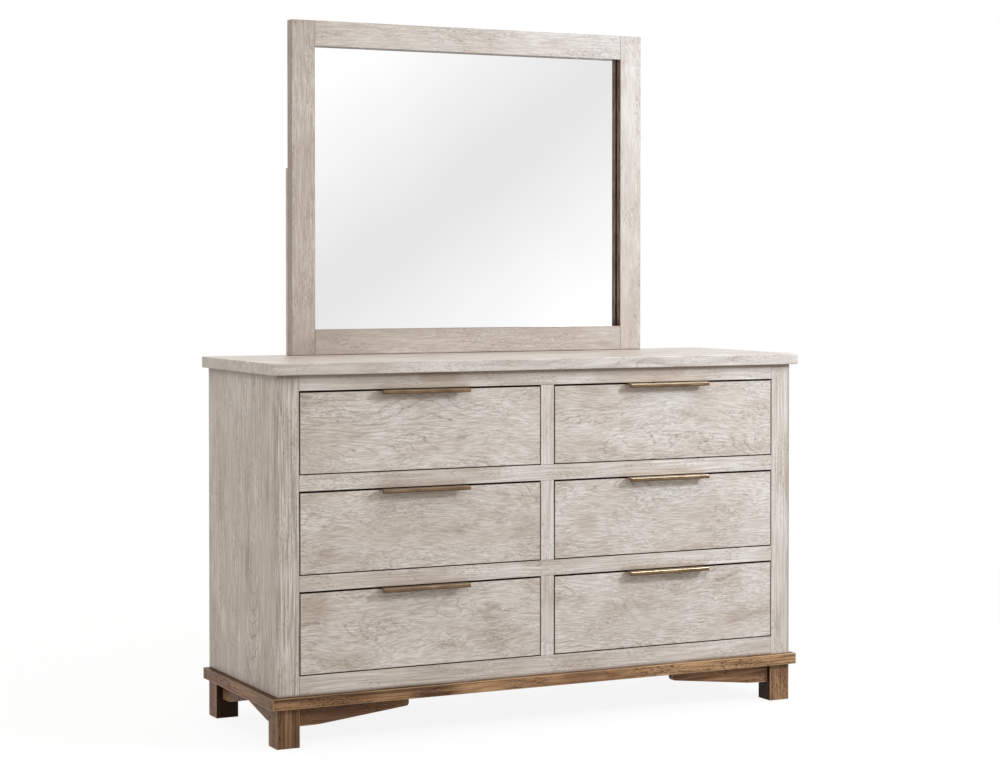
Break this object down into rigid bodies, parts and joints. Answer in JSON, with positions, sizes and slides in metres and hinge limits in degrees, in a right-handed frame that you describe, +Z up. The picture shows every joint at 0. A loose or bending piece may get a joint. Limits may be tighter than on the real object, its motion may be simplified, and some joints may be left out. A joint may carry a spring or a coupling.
{
  "type": "dresser",
  "caption": "Wide dresser with inset dovetailed drawers, slim brass edge pulls, a brown base on square legs and a framed mirror standing on its top.",
  "frame": {"origin": "on the floor, in the middle of the part's box", "axes": "+Z up, the drawers open towards -Y, +X to the right of someone who faces the drawers"},
  "size_m": [1.5234, 0.5328, 1.8371],
  "materials": {
    "whitewashed_wood": "satin",
    "brown_wood": "satin",
    "drawer_box_wood": "matte",
    "back_board": "matte",
    "brass": "brushed",
    "mirror_silver": "polished"
  },
  "bodies": {
    "case": {"top_panel": "whitewashed_wood", "side_panel_left": "whitewashed_wood", "side_panel_right": "whitewashed_wood", "front_stile_left": "whitewashed_wood", "front_stile_right": "whitewashed_wood", "rail_top": "whitewashed_wood", "rail_upper": "whitewashed_wood", "rail_lower": "whitewashed_wood", "rail_bottom": "whitewashed_wood", "centre_stile_top": "whitewashed_wood", "centre_stile_middle": "whitewashed_wood", "centre_stile_bottom": "whitewashed_wood", "deck_floor": "drawer_box_wood", "deck_lower": "drawer_box_wood", "deck_upper": "drawer_box_wood", "divider_top": "drawer_box_wood", "divider_middle": "drawer_box_wood", "divider_bottom": "drawer_box_wood", "back_panel": "back_board", "mirror_backing": "back_board", "base_moulding_front": "brown_wood", "base_moulding_left": "brown_wood", "base_moulding_right": "brown_wood", "base_rail_back": "brown_wood", "leg_front_left": "brown_wood", "leg_front_right": "brown_wood", "leg_back_left": "brown_wood", "leg_back_right": "brown_wood", "bracket_front_left": "brown_wood", "bracket_front_right": "brown_wood", "bracket_left_front": "brown_wood", "bracket_left_back": "brown_wood", "bracket_right_front": "brown_wood", "bracket_right_back": "brown_wood", "mirror_stile_left": "whitewashed_wood", "mirror_stile_right": "whitewashed_wood", "mirror_rail_top": "whitewashed_wood", "mirror_rail_bottom": "whitewashed_wood", "mirror_post_left": "whitewashed_wood", "mirror_post_right": "whitewashed_wood", "mirror_glass": "mirror_silver"},
    "drawer_top_left": {"drawer_front_top_left": "whitewashed_wood", "drawer_box_top_left": "drawer_box_wood", "drawer_pull_top_left": "brass"},
    "drawer_top_right": {"drawer_front_top_right": "whitewashed_wood", "drawer_box_top_right": "drawer_box_wood", "drawer_pull_top_right": "brass"},
    "drawer_middle_left": {"drawer_front_middle_left": "whitewashed_wood", "drawer_box_middle_left": "drawer_box_wood", "drawer_pull_middle_left": "brass"},
    "drawer_middle_right": {"drawer_front_middle_right": "whitewashed_wood", "drawer_box_middle_right": "drawer_box_wood", "drawer_pull_middle_right": "brass"},
    "drawer_bottom_left": {"drawer_front_bottom_left": "whitewashed_wood", "drawer_box_bottom_left": "drawer_box_wood", "drawer_pull_bottom_left": "brass"},
    "drawer_bottom_right": {"drawer_front_bottom_right": "whitewashed_wood", "drawer_box_bottom_right": "drawer_box_wood", "drawer_pull_bottom_right": "brass"}
  },
  "joints": [
    {"name": "drawer_top_left_slide", "type": "slide", "parent": "case", "child": "drawer_top_left", "axis": [0, -1, 0], "range_m": [0, 0.33]},
    {"name": "drawer_top_right_slide", "type": "slide", "parent": "case", "child": "drawer_top_right", "axis": [0, -1, 0], "range_m": [0, 0.33]},
    {"name": "drawer_middle_left_slide", "type": "slide", "parent": "case", "child": "drawer_middle_left", "axis": [0, -1, 0], "range_m": [0, 0.33]},
    {"name": "drawer_middle_right_slide", "type": "slide", "parent": "case", "child": "drawer_middle_right", "axis": [0, -1, 0], "range_m": [0, 0.33]},
    {"name": "drawer_bottom_left_slide", "type": "slide", "parent": "case", "child": "drawer_bottom_left", "axis": [0, -1, 0], "range_m": [0, 0.33]},
    {"name": "drawer_bottom_right_slide", "type": "slide", "parent": "case", "child": "drawer_bottom_right", "axis": [0, -1, 0], "range_m": [0, 0.33]}
  ]
}
